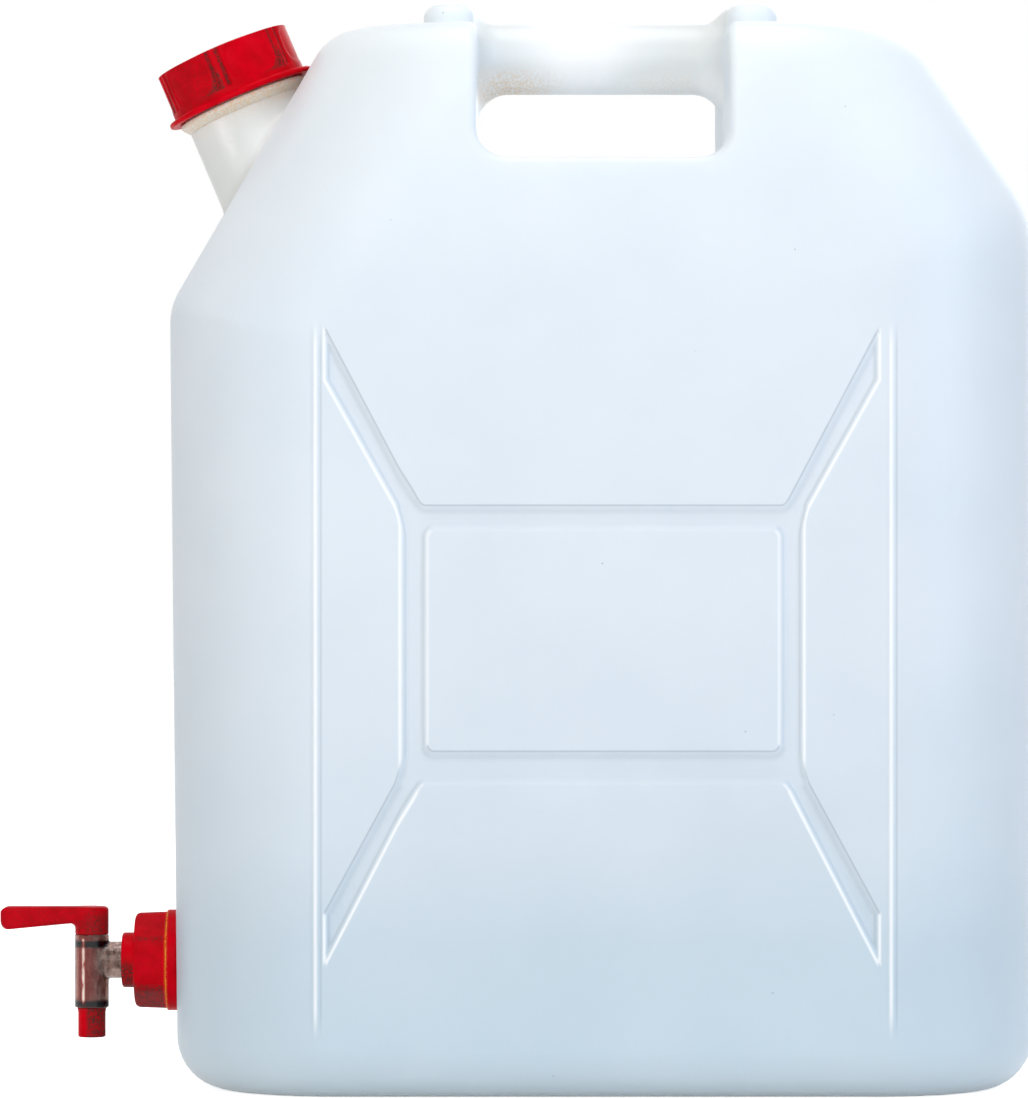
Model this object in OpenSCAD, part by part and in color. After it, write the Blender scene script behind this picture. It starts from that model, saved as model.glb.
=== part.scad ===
// Twenty litre blow-moulded jerrycan with a screw cap on its slanted fill neck
// and a lever tap low on one side. X runs across the broad face, Y through the
// thickness and Z up. The origin is on the ground at the middle of the can.

/* [Can] */
// Width across the broad face
can_w = 338; // [300:1:380]
// Thickness between the two broad faces
can_d = 175; // [150:1:200]
// Height of the flat top
can_h = 414; // [395:1:450]
// Wall of the blown shell
wall = 2; // [1.5:0.1:2.5]
// Radius of the four upright corners
corner_r = 62; // [45:1:70]
// Rounding where the sides meet the base
base_r = 20; // [12:1:26]
// Rounding where the broad faces meet the top
rim_r = 18; // [12:1:22]
// How far the tap side leans in at the base
side_draft = 3; // [0:0.5:6]

/* [Shoulders] */
// Drop from the flat top to the foot of the slope on the fill side
fill_foot_drop = 108; // [96:1:130]
// Distance of that slope's top corner from the can's side
fill_top_in = 63; // [50:1:72]
// Drop from the flat top to the foot of the plain slope
back_foot_drop = 72; // [60:1:100]
// Distance of the plain slope's top corner from the can's side
back_top_in = 49; // [40:1:68]
// Rounding at the top of the fill slope
fill_top_r = 20; // [10:1:30]
// Rounding at the foot of the fill slope
fill_foot_r = 25; // [15:1:40]
// Rounding at the top of the plain slope
back_top_r = 30; // [15:1:40]
// Rounding at the foot of the plain slope
back_foot_r = 50; // [20:1:60]

/* [Face relief] */
// Depth of the sunk bands on the broad faces
band_depth = 2.2; // [1:0.1:3]
// Width of the sunk bands
band_w = 10; // [6:0.5:14]
// Width of the band below the middle panel
low_band_w = 13; // [6:0.5:18]
// Width of the middle panel
panel_w = 134; // [100:1:160]
// Height of the middle panel's lower edge
panel_z = 134; // [110:1:160]
// Drop from the flat top to the middle panel's upper edge
panel_drop = 196; // [170:1:220]
// Distance of the slanted bands' outer ends from the can's sides
band_end_in = 64; // [61:1:72]
// Drop from the flat top to the upper slanted bands' tips
band_top_drop = 121; // [114:1:140]
// Height of the lower slanted bands' tips
band_low_z = 52; // [45:1:70]
// Height of the upright end of a slanted band
band_end_h = 20; // [14:1:26]
// How far past the middle panel a slanted band's inner edge starts
band_lead = 2.4; // [0:0.2:6]
// How far along the frame's side a slanted band's outer edge starts
band_heel = 4; // [2:0.5:8]
// Distance of the upright beads from the can's sides
bead_in = 59; // [53:1:61]
// Width of the upright beads
bead_w = 2.4; // [1.6:0.1:4]
// How far the beads stand out
bead_out = 0.8; // [0.4:0.1:1.1]
// Height of the beads' lower ends
bead_low_z = 22; // [16:1:40]
// Drop from the flat top to the beads' upper ends
bead_top_drop = 114; // [112:1:140]

/* [Handle] */
// Width of the pocket that the handle crosses
pocket_w = 97; // [85:1:110]
// Depth of the pocket below the flat top
pocket_depth = 53; // [48:1:64]
// Corner radius of the pocket's floor
pocket_r = 11.7; // [6:0.1:16]
// Diameter of the handle
grip_d = 28; // [22:0.5:32]
// Drop from the flat top to the handle's axis
grip_drop = 8.8; // [2:0.1:14]
// Fillet at each end of the handle
grip_fillet = 12; // [6:0.5:14]
// Width of the raised lug at each end of the handle
lug_w = 21; // [16:1:26]
// Length of the lugs through the thickness
lug_d = 64; // [50:1:90]
// How far the lugs stand above the flat top
lug_rise = 10.5; // [6:0.5:18]
// Rounding on the lugs' top edges
lug_r = 5; // [3:0.5:7]

/* [Fill neck] */
// Distance of the neck's seat from the can's side
neck_in = 27; // [23:0.5:31]
// Drop from the flat top to the neck's seat, under the cap's flange
neck_drop = 25; // [20:0.5:29]
// Lean of the neck from upright
neck_lean = 23; // [20:0.5:26]
// Outside diameter of the neck
neck_d = 48; // [44:0.5:50]
// Bore of the neck
neck_bore = 41; // [34:0.5:42]
// Height of the neck's rim over its seat
neck_rise = 18.2; // [14:0.2:20]
// Diameter of the recess that clears the cap
recess_d = 68; // [64:1:72]
// Depth of that recess below the neck's seat
recess_drop = 14; // [8:1:18]
// Diameter of the support ring under the cap
ring_d = 53; // [50:0.5:56]
// Thickness of the support ring
ring_t = 2; // [1.5:0.1:3]
// Gap between the support ring and the cap
ring_gap = 0.4; // [0.3:0.1:1]

/* [Fill cap] */
// Diameter of the cap's skirt
cap_d = 55; // [52:0.5:58]
// Thickness of the cap's top
cap_top = 2.8; // [1.8:0.1:3.5]
// Chamfer round the cap's top edge
cap_edge = 1.4; // [0.8:0.1:1.6]
// Diameter of the flange at the cap's lower edge
cap_flange_d = 60.7; // [58:0.1:62]
// Thickness of that flange
cap_flange_t = 2; // [1.4:0.1:3]
// Grip ribs round the cap
cap_ribs = 6; // [4:1:8]
// Width of a grip rib
cap_rib_w = 2.6; // [1.6:0.1:3.5]
// Width of the groove at each side of a rib
cap_groove_w = 1.7; // [1:0.1:2.5]
// Depth of the grooves
cap_groove_depth = 1.1; // [0.5:0.1:1.6]
// Depth of the finger panels between the ribs
cap_panel_depth = 0.6; // [0.3:0.1:0.9]
// Height of the plain band above the flange
cap_band_h = 3; // [2:0.5:5]
// Angle from the thickness direction to the first rib
cap_rib_turn = -98; // [-180:1:180]
// Thickness of the sealing ring
cap_seal_t = 2; // [1:0.1:3]
// How far the sealing ring reaches over the neck's bore
cap_seal_lip = 2; // [0.5:0.5:4]

/* [Tap seat] */
// Height of the tap's axis
tap_z = 48; // [40:0.5:60]
// Outside diameter of the can's outlet spigot
spigot_d = 28; // [24:0.5:29]
// Bore of the spigot
spigot_bore = 22; // [18:0.5:23]
// Length of the spigot outside the can
spigot_l = 10.5; // [8:0.5:12]

/* [Tap nut] */
// Width of the nut across its flats
nut_flats = 34.6; // [33:0.1:36]
// Diameter that the nut's corners are turned down to
nut_corner_d = 38.4; // [36:0.2:39.5]
// Diameter of the flange next to the can
nut_flange_d = 40; // [37:0.5:44]
// Thickness of that flange
nut_flange_t = 4.6; // [3:0.1:6]
// Thickness of the nut's end wall
nut_end = 3.2; // [2:0.1:4]
// Chamfer on the nut's outer shoulder
nut_shoulder = 2.5; // [1:0.1:4]
// Diameter of the collar
nut_collar_d = 21.8; // [19:0.2:25]
// Length of the collar
nut_collar_l = 5.2; // [3:0.2:7]
// Space between the nut and the can's side
nut_gap = 0.4; // [0.3:0.1:1]

/* [Tap barrel] */
// Distance of the barrel's axis from the can's side
barrel_out = 35.1; // [33:0.1:40]
// Outside diameter of the barrel
barrel_d = 13.6; // [12.5:0.1:16]
// Bore of the barrel
barrel_bore = 10.6; // [9:0.1:11]
// Height of the barrel above the tap's axis
barrel_up = 10.2; // [9:0.1:14]
// Depth of the barrel below the tap's axis
barrel_down = 18.7; // [12:0.1:24]
// Diameter of the stem that joins the barrel to the nut
stem_d = 14.6; // [12:0.1:16]
// Bore through the stem
stem_bore = 7; // [4:0.5:8]
// Diameter of the flange that the nut clamps
clamp_d = 27; // [24:0.5:27.5]
// Thickness of that flange
clamp_t = 2.2; // [1.5:0.1:3]
// Length of the tail inside the spigot
tail_l = 8; // [4:0.5:10]
// Diameter of the tail
tail_d = 16; // [12:0.5:20]

/* [Tap plug] */
// Diameter of the plug's hub above the barrel
hub_d = 13.2; // [11:0.1:15]
// Height of the hub
hub_h = 11; // [8:0.1:14]
// Length of the lever from the plug's axis to its tip
lever_l = 36.8; // [28:0.2:50]
// Thickness of the lever beside the hub
lever_root_t = 6.5; // [5:0.1:8]
// Thickness of the lever at its tip
lever_tip_t = 9.4; // [7:0.1:12]
// Width of the lever
lever_w = 10; // [7:0.5:12]
// Diameter of the outlet nozzle
nozzle_d = 10.9; // [9:0.1:12.5]
// Length of the nozzle below the barrel
nozzle_l = 11.8; // [8:0.1:20]
// Bore of the nozzle
nozzle_bore = 6; // [4:0.2:7]
// Diameter of the plug's side port
port_d = 5.6; // [4:0.2:6.5]

/* [Seals] */
// Thickness of the tap's gasket
gasket_t = 1.8; // [1:0.1:3]
// Section of the plug's sealing rings
o_ring_t = 2; // [1.5:0.1:2.5]
// Distance of the upper sealing ring below the barrel's top
o_ring_top = 3.7; // [2.5:0.1:6]
// Distance of the lower sealing ring above the barrel's foot
o_ring_foot = 1.6; // [1.2:0.1:6]

/* [Fits] */
// Running clearance all round a turned fit
fit = 0.05; // [0.02:0.01:0.1]

/* [Hidden] */

body_tint = "#e4eef4";
red_tint = "#d0101a";
barrel_tint = "#a89890";
seal_tint = "#1b1d22";

through = 2 * can_d;
overlap = 1;
ring_steps = 9;
edge_steps = 6;
round_fn = 64;

fill_foot_z = can_h - fill_foot_drop;
fill_top_x = can_w / 2 - fill_top_in;
back_foot_z = can_h - back_foot_drop;
back_top_x = can_w / 2 - back_top_in;
panel_top_z = can_h - panel_drop;
band_end_x = can_w / 2 - band_end_in;
band_top_z = can_h - band_top_drop;
bead_x = can_w / 2 - bead_in;
bead_top_z = can_h - bead_top_drop;
pocket_z = can_h - pocket_depth;
grip_z = can_h - grip_drop;
lug_z = can_h + lug_rise;
neck_x = can_w / 2 - neck_in;
neck_z = can_h - neck_drop;

// Outline of one side of the can, from the base to the top, as arcs whose
// centres are shared by the outer and the inner skin.
function unit(v) = v / norm(v);
function round_corner(before, corner, after, r, inset = 0, steps = edge_steps) =
    let (
        back = unit(before - corner),
        ahead = unit(after - corner),
        half = acos(back * ahead) / 2,
        centre = corner + unit(back + ahead) * r / sin(half),
        from = corner + back * r / tan(half) - centre,
        to = corner + ahead * r / tan(half) - centre,
        start = atan2(from[1], from[0]),
        turn = atan2(to[1], to[0]) - start,
        sweep = turn > 180 ? turn - 360 : (turn < -180 ? turn + 360 : turn)
    )
    [
        for (i = [0:steps])
            let (a = start + sweep * i / steps)
            centre + (r - inset) * [cos(a), sin(a)]
    ];

function side_outline(foot_x, side_x, foot_z, foot_r, top_x, top_r, inset) =
    let (
        base = [foot_x, 0],
        knee = [side_x, foot_z],
        peak = [top_x, can_h]
    )
    concat(
        round_corner([0, 0], base, knee, base_r, inset),
        round_corner(base, knee, peak, foot_r, inset),
        round_corner(knee, peak, [0, can_h], top_r, inset)
    );

function fill_outline(inset) = side_outline(
    can_w / 2 - side_draft, can_w / 2, fill_foot_z, fill_foot_r, fill_top_x, fill_top_r, inset
);
function back_outline(inset) = side_outline(
    can_w / 2, can_w / 2, back_foot_z, back_foot_r, back_top_x, back_top_r, inset
);
function face_outline(inset) = concat(
    round_corner([0, 0], [can_d / 2, 0], [can_d / 2, can_h], base_r, inset),
    round_corner([can_d / 2, 0], [can_d / 2, can_h], [0, can_h], rim_r, inset)
);
function by_height(outline) = [for (p = outline) [p[1], p[0]]];

// Levels of the rings, lowest first, with none closer together than a millimetre.
function sorted(v) =
    len(v) < 2 ? v : let (
        pivot = v[0],
        below = [for (x = v) if (x < pivot) x],
        above = [for (x = v) if (x > pivot) x]
    )
    concat(sorted(below), [pivot], sorted(above));

function ring_levels(inset) =
    let (
        face = [for (p = face_outline(inset)) p[1]],
        low = face[edge_steps] + overlap,
        high = face[edge_steps + 1] - overlap,
        sides = concat(fill_outline(inset), back_outline(inset)),
        between = [for (p = sides) if (p[1] > low && p[1] < high) round(p[1])]
    )
    sorted(concat(face, between));

// One level ring of the shell: four arcs of shrinking radius towards top and base.
function shell_ring(z, inset) =
    let (
        left = -lookup(z, by_height(fill_outline(inset))),
        right = lookup(z, by_height(back_outline(inset))),
        half_d = lookup(z, by_height(face_outline(inset))),
        r = corner_r - (can_d / 2 - half_d),
        middles = [
            [right - r, half_d - r], [left + r, half_d - r],
            [left + r, r - half_d], [right - r, r - half_d]
        ]
    )
    [
        for (q = [0:3])
            for (i = [0:ring_steps])
                let (a = 90 * (q + i / ring_steps))
                [middles[q][0] + r * cos(a), middles[q][1] + r * sin(a), z]
    ];

module shell(inset) {
    levels = ring_levels(inset);
    n = 4 * (ring_steps + 1);
    points = [for (z = levels) each shell_ring(z, inset)];
    last = len(levels) - 1;
    walls = [
        for (k = [0:last - 1])
            for (i = [0:n - 1])
                let (j = (i + 1) % n)
                each [
                    [k * n + i, (k + 1) * n + i, (k + 1) * n + j],
                    [k * n + i, (k + 1) * n + j, k * n + j]
                ]
    ];
    base = [[for (i = [0:n - 1]) i]];
    top = [[for (i = [0:n - 1]) last * n + n - 1 - i]];
    polyhedron(points = points, faces = concat(walls, base, top), convexity = 4);
}

// Sunk bands: a frame round the middle panel and a slanted band to each corner.
// Each outline can be moved outwards by a distance, with its corners kept sharp.
function grown(points, out) =
    let (n = len(points))
    [
        for (i = [0:n - 1])
            let (
                along = unit(points[i] - points[(i + n - 1) % n]),
                next = unit(points[(i + 1) % n] - points[i]),
                away = [along[1], -along[0]],
                away_next = [next[1], -next[0]]
            )
            points[i] + out * (away + away_next) / (1 + away * away_next)
    ];

function band_corners(x, low, high) = [[-x, low], [x, low], [x, high], [-x, high]];

module band_frame(out) {
    difference() {
        polygon(grown(band_corners(
            panel_w / 2 + band_w, panel_z - low_band_w, panel_top_z + band_w), out));
        polygon(grown(band_corners(panel_w / 2, panel_z, panel_top_z), -out));
    }
}

module slanted_band(tip_z, foot_z, out) {
    way = sign(tip_z - foot_z);
    inner = panel_w / 2;
    polygon(grown([
        [inner + band_lead, foot_z],
        [inner, foot_z],
        [inner, foot_z - way * band_w],
        [inner + band_w, foot_z - way * band_heel],
        [band_end_x, tip_z - way * band_end_h],
        [band_end_x, tip_z]
    ], way * out));
}

module band_outline(out) {
    band_frame(out);
    for (side = [0, 1])
        mirror([side, 0]) {
            slanted_band(band_top_z, panel_top_z + band_w, out);
            slanted_band(band_low_z, panel_z - low_band_w, out);
        }
}

// The bands on both broad faces, cut to a depth measured from the face.
module bands(out, depth) {
    for (side = [0, 1])
        mirror([0, side, 0])
            translate([0, depth - can_d / 2, 0])
                rotate([90, 0, 0])
                    linear_extrude(depth + overlap) band_outline(out);
}

module beads() {
    sunk = bead_w / 2 - bead_out;
    for (x = [-bead_x, bead_x])
        for (y = [-1, 1])
            translate([x, y * (can_d / 2 - bead_fall() - sunk), bead_low_z])
                cylinder(d = bead_w, h = bead_top_z - bead_low_z, $fn = round_fn);
}
// How far the rounded corner has fallen away at the beads.
function bead_fall() =
    let (past = max(0, bead_x - (can_w / 2 - corner_r)))
    corner_r - sqrt(corner_r * corner_r - past * past);

// Handle pocket: a round-cornered slot through the thickness, open at the top.
module pocket(grow) {
    half = pocket_w / 2 + grow;
    low = pocket_z - grow;
    r = pocket_r + grow;
    high = lug_z + can_d;
    right = round_corner([0, low], [half, low], [half, high], r);
    left = [for (i = [len(right) - 1:-1:0]) [-right[i][0], right[i][1]]];
    outline = concat(right, [[half, high], [-half, high]], left);
    translate([0, through / 2, 0])
        rotate([90, 0, 0])
            linear_extrude(through) polygon(outline);
}

// Handle: a tube along X that flares at both ends to meet the pocket's sides, with
// the flares cut level a little below the lugs.
crest_drop = 1;
flare_end = 80;
flare_steps = 7;
module handle(inset) {
    end = pocket_w / 2 + inset + overlap;
    side = [
        for (i = [0:flare_steps])
            let (a = flare_end * i / flare_steps)
            [
                grip_d / 2 - inset + grip_fillet * (1 - cos(a)),
                pocket_w / 2 - grip_fillet * (1 - sin(a))
            ]
    ];
    upper = concat(side, [[side[flare_steps][0], end]]);
    lower = [for (i = [len(upper) - 1:-1:0]) [upper[i][0], -upper[i][1]]];
    intersection() {
        translate([0, 0, grip_z])
            rotate([0, 90, 0])
                rotate_extrude($fn = round_fn)
                    polygon(concat([[0, -end]], lower, upper, [[0, end]]));
        translate([-can_w / 2, -can_d / 2, 0])
            cube([can_w, can_d, lug_z - crest_drop - inset]);
    }
}

// Raised lug: a bar with round ends and a rounded top, one at each end of the handle.
module lug(inset) {
    w = lug_w / 2 - inset;
    high = lug_z - inset;
    low = pocket_z + pocket_r;
    r = lug_r - inset / 2;
    edge = round_corner([w, low], [w, high], [0, high], r);
    half = concat([[0, low], [w, low]], edge, [[0, high]]);
    whole = concat(edge, [for (i = [len(edge) - 1:-1:0]) [-edge[i][0], edge[i][1]]],
                   [[-w, low], [w, low]]);
    reach = lug_d / 2 - lug_w / 2;
    for (side = [0, 1])
        mirror([side, 0, 0])
            translate([pocket_w / 2 + lug_w / 2, 0, 0]) {
                translate([0, reach, 0])
                    rotate([90, 0, 0])
                        linear_extrude(2 * reach) polygon(whole);
                for (y = [-reach, reach])
                    translate([0, y, 0])
                        rotate_extrude($fn = round_fn) polygon(half);
            }
}

// Frames of the two threaded outlets: each has its axis along its own Z.
module at_neck() {
    translate([-neck_x, 0, neck_z]) rotate([0, -neck_lean, 0]) children();
}
tap_side = can_w / 2 - side_draft * (1 - tap_z / fill_foot_z);
module at_tap() {
    translate([-tap_side, 0, tap_z]) rotate([0, -90, 0]) children();
}
module at_barrel() {
    translate([-tap_side - barrel_out, 0, tap_z]) children();
}

neck_root = recess_drop + neck_d;
tap_bore_in = side_draft + wall + overlap;

module can_outside() {
    difference() {
        union() {
            difference() {
                shell(0);
                at_neck()
                    translate([0, 0, -recess_drop])
                        cylinder(d = recess_d, h = can_d, $fn = round_fn);
            }
            lug(0);
            beads();
        }
        pocket(0);
        bands(0, band_depth);
    }
    handle(0);
    at_neck() {
        translate([0, 0, -neck_root])
            cylinder(d = neck_d, h = neck_root + neck_rise, $fn = round_fn);
        translate([0, 0, -ring_gap - ring_t])
            cylinder(d = ring_d, h = ring_t, $fn = round_fn);
    }
    at_tap()
        translate([0, 0, -tap_bore_in / 2])
            cylinder(d = spigot_d, h = spigot_l + tap_bore_in / 2, $fn = round_fn);
}

module can_inside() {
    difference() {
        union() {
            shell(wall);
            lug(wall);
        }
        pocket(wall);
        bands(wall, band_depth + wall);
        at_neck()
            translate([0, 0, -recess_drop - wall])
                cylinder(d = recess_d + 2 * wall, h = can_d, $fn = round_fn);
    }
    handle(wall);
    at_neck()
        translate([0, 0, -neck_root])
            cylinder(d = neck_bore, h = neck_root + neck_rise + overlap, $fn = round_fn);
    at_tap()
        translate([0, 0, -tap_bore_in])
            cylinder(d = spigot_bore, h = spigot_l + tap_bore_in + overlap, $fn = round_fn);
}

module can_body() {
    color(body_tint)
        difference() {
            can_outside();
            can_inside();
        }
}

// Screw cap: skirt, flange and a chamfered top, with ribs between pairs of grooves.
cap_panel_turn = 1.2;
cap_panel_land = 0.6;
cap_bore = neck_d + 2 * fit;
cap_room = neck_rise + cap_seal_t;
cap_h = cap_room + cap_top;
module fill_cap() {
    r = cap_d / 2;
    skirt = [
        [0, 0], [cap_flange_d / 2, 0], [cap_flange_d / 2, cap_flange_t], [r, cap_flange_t],
        [r, cap_h - cap_edge], [r - cap_edge, cap_h], [0, cap_h]
    ];
    cut_z = cap_flange_t + cap_band_h;
    color(red_tint)
        at_neck()
            difference() {
                rotate_extrude($fn = round_fn) polygon(skirt);
                translate([0, 0, -overlap])
                    cylinder(d = cap_bore, h = cap_room + overlap, $fn = round_fn);
                for (i = [0:cap_ribs - 1])
                    rotate(i * 360 / cap_ribs + cap_rib_turn) {
                        for (side = [-1, 1])
                            translate([
                                r - cap_groove_depth,
                                side * (cap_rib_w + cap_groove_w) / 2 - cap_groove_w / 2,
                                cut_z
                            ])
                                cube([2 * cap_groove_depth, cap_groove_w, cap_h]);
                        cap_panel(r, cut_z);
                    }
            }
}

// Finger panel: a shallow round-cornered sector of the skirt's surface.
module cap_panel(r, cut_z) {
    edge = cap_rib_w / 2 + cap_groove_w;
    from = asin(edge / r) + cap_panel_turn;
    turn = 360 / cap_ribs - 2 * from;
    rotate([0, 0, from])
        rotate_extrude(angle = turn, $fn = round_fn)
            translate([r - cap_panel_depth, cut_z])
                square([2 * cap_panel_depth, cap_h - cut_z - cap_edge - cap_panel_land]);
}

module fill_cap_seal() {
    color("#d8d4cc")
        at_neck()
            translate([0, 0, neck_rise])
                difference() {
                    cylinder(d = neck_d, h = cap_seal_t, $fn = round_fn);
                    translate([0, 0, -overlap])
                        cylinder(d = neck_bore - 2 * cap_seal_lip, h = cap_seal_t + 2 * overlap,
                                 $fn = round_fn);
                }
}

// Nut: flange, hexagon with turned corners, rounded shoulder and a collar.
clamp_s = spigot_l + gasket_t;
nut_bore = spigot_d + 2 * fit;
nut_face = clamp_s + clamp_t + fit;
nut_l = nut_face + nut_end - nut_gap;
collar_edge = 1;
module tap_nut() {
    flange_end = nut_gap + nut_flange_t;
    body_end = nut_gap + nut_l;
    turned = [
        [0, nut_gap], [nut_flange_d / 2, nut_gap], [nut_flange_d / 2, flange_end],
        [nut_corner_d / 2, flange_end], [nut_corner_d / 2, body_end - nut_shoulder],
        [nut_corner_d / 2 - nut_shoulder, body_end], [0, body_end]
    ];
    color(red_tint)
        at_tap()
            difference() {
                union() {
                    intersection() {
                        rotate_extrude($fn = round_fn) polygon(turned);
                        union() {
                            translate([0, 0, nut_gap])
                                cylinder(d = nut_flats / cos(30), h = nut_l, $fn = 6);
                            translate([0, 0, nut_gap])
                                cylinder(d = 2 * nut_flange_d, h = nut_flange_t, $fn = round_fn);
                        }
                    }
                    translate([0, 0, body_end - overlap])
                        cylinder(d = nut_collar_d, h = overlap + nut_collar_l - collar_edge,
                                 $fn = round_fn);
                    translate([0, 0, body_end + nut_collar_l - collar_edge])
                        cylinder(d1 = nut_collar_d, d2 = nut_collar_d - 2 * collar_edge,
                                 h = collar_edge, $fn = round_fn);
                }
                cylinder(d = nut_bore, h = nut_face, $fn = round_fn);
                cylinder(d = stem_d + 2 * fit, h = through, $fn = round_fn);
            }
}

gasket_gap = 0.5;
module tap_gasket() {
    color(seal_tint)
        at_tap()
            translate([0, 0, spigot_l])
                difference() {
                    cylinder(d = clamp_d, h = gasket_t, $fn = round_fn);
                    translate([0, 0, -overlap])
                        cylinder(d = tail_d + 2 * gasket_gap, h = gasket_t + 2 * overlap,
                                 $fn = round_fn);
                }
}

// Barrel: an upright tube with a stem, the clamped flange and a tail in the spigot.
stem_stop = 3;
stem_inner_d = barrel_d - 1;
module tap_barrel() {
    color(barrel_tint)
        difference() {
            union() {
                at_barrel()
                    translate([0, 0, -barrel_down])
                        cylinder(d = barrel_d, h = barrel_down + barrel_up, $fn = round_fn);
                at_tap() {
                    translate([0, 0, clamp_s - overlap])
                        cylinder(d = stem_d, h = barrel_out - clamp_s + overlap - stem_stop,
                                 $fn = round_fn);
                    translate([0, 0, clamp_s + clamp_t])
                        cylinder(d = stem_inner_d, h = barrel_out - clamp_s - clamp_t,
                                 $fn = round_fn);
                    translate([0, 0, clamp_s])
                        cylinder(d = clamp_d, h = clamp_t, $fn = round_fn);
                    translate([0, 0, clamp_s - gasket_t - tail_l])
                        cylinder(d = tail_d, h = gasket_t + tail_l + overlap, $fn = round_fn);
                }
            }
            at_barrel()
                translate([0, 0, -barrel_down - overlap])
                    cylinder(d = barrel_bore, h = barrel_down + barrel_up + 2 * overlap,
                             $fn = round_fn);
            at_tap()
                translate([0, 0, clamp_s - gasket_t - tail_l - overlap])
                    cylinder(d = stem_bore, h = barrel_out - clamp_s + gasket_t + tail_l + overlap,
                             $fn = round_fn);
        }
}

// Plug: hub and lever above the barrel, a ported core inside it, a nozzle below.
plug_d = barrel_bore - 2 * fit;
o_ring_upper = barrel_up - o_ring_top;
o_ring_lower = o_ring_foot - barrel_down;
groove_d = plug_d - 2 * o_ring_t + 2 * fit;
nozzle_edge = 0.6;
nozzle_cone_h = 1.2;
nozzle_land = 0.8;
hub_foot_h = 2;
hub_edge = 1;
module tap_plug() {
    hub_z = barrel_up + fit;
    top_z = hub_z + hub_h;
    cone_z = -barrel_down - fit;
    low_z = -barrel_down - nozzle_l;
    wide = nozzle_d / 2;
    profile = [
        [0, low_z], [wide - nozzle_edge, low_z], [wide, low_z + nozzle_edge],
        [wide, cone_z - nozzle_cone_h], [barrel_d / 2 - nozzle_land, cone_z],
        [plug_d / 2, cone_z], [plug_d / 2, hub_z],
        [barrel_d / 2, hub_z], [hub_d / 2, hub_z + hub_foot_h], [hub_d / 2, top_z - hub_edge],
        [hub_d / 2 - hub_edge, top_z], [0, top_z]
    ];
    color(red_tint)
        at_barrel()
            difference() {
                union() {
                    rotate_extrude($fn = round_fn) polygon(profile);
                    lever(top_z);
                }
                for (z = [o_ring_upper, o_ring_lower])
                    translate([0, 0, z - o_ring_t / 2])
                        rotate_extrude($fn = round_fn)
                            translate([groove_d / 2, 0])
                                square([o_ring_t, o_ring_t]);
                translate([0, 0, low_z - overlap])
                    cylinder(d = nozzle_bore, h = overlap - low_z + port_d / 2, $fn = round_fn);
                rotate([0, 90, 0])
                    cylinder(d = port_d, h = barrel_d, $fn = round_fn);
            }
}

// Lever: a paddle that thickens towards its rounded tip, filleted into the hub below.
tip_land = 0.8;
root_in = 1.5;
root_fillet = 2.4;
module lever(top_z) {
    tip_r = (lever_tip_t - tip_land) / 2;
    hub_x = -hub_d / 2;
    root_z = top_z - lever_root_t;
    foot_z = top_z - hub_h + hub_foot_h;
    tip_low = [-lever_l, top_z - lever_tip_t];
    tip_high = [-lever_l, top_z];
    side = concat(
        [[hub_x + root_in, top_z], [hub_x + root_in, foot_z]],
        round_corner([hub_x, foot_z], [hub_x, root_z], tip_low, root_fillet),
        round_corner([0, root_z], tip_low, tip_high, tip_r),
        round_corner(tip_low, tip_high, [hub_x, top_z], tip_r)
    );
    intersection() {
        translate([0, lever_w / 2, 0])
            rotate([90, 0, 0])
                linear_extrude(lever_w) polygon(side);
        linear_extrude(top_z + overlap)
            union() {
                translate([-lever_l + lever_w / 2, -lever_w / 2])
                    square([lever_l - lever_w / 2, lever_w]);
                translate([-lever_l + lever_w / 2, 0])
                    circle(d = lever_w, $fn = round_fn);
            }
    }
}

module o_ring(z) {
    color(seal_tint)
        at_barrel()
            translate([0, 0, z])
                rotate_extrude($fn = round_fn)
                    translate([(groove_d + o_ring_t) / 2, 0])
                        circle(d = o_ring_t - fit, $fn = 24);
}

module tap_o_ring_upper() {
    o_ring(o_ring_upper);
}

module tap_o_ring_lower() {
    o_ring(o_ring_lower);
}

can_body();
fill_cap();
fill_cap_seal();
tap_nut();
tap_barrel();
tap_gasket();
tap_plug();
tap_o_ring_upper();
tap_o_ring_lower();
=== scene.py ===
"""Looks of a twenty litre blow-moulded jerrycan with a red screw cap and a lever tap.

Lengths inside the shape functions are millimetres, in the same frame as the
solids: X across the broad face, Y through the thickness, Z up from the ground.
"""

import bmesh
import bpy
import numpy as np
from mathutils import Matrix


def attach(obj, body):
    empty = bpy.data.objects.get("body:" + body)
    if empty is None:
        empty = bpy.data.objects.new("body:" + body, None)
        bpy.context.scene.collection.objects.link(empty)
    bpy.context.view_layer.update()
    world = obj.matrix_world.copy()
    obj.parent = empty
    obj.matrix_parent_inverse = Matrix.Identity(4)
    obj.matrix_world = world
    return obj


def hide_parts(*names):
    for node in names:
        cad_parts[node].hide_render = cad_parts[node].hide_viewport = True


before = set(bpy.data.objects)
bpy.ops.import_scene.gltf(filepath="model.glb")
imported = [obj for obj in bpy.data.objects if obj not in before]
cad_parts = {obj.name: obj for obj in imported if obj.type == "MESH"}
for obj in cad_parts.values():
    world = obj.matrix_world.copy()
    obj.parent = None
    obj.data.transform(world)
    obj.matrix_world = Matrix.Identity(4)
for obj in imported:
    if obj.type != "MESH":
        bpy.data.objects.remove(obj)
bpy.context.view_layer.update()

MM = 0.001

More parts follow.
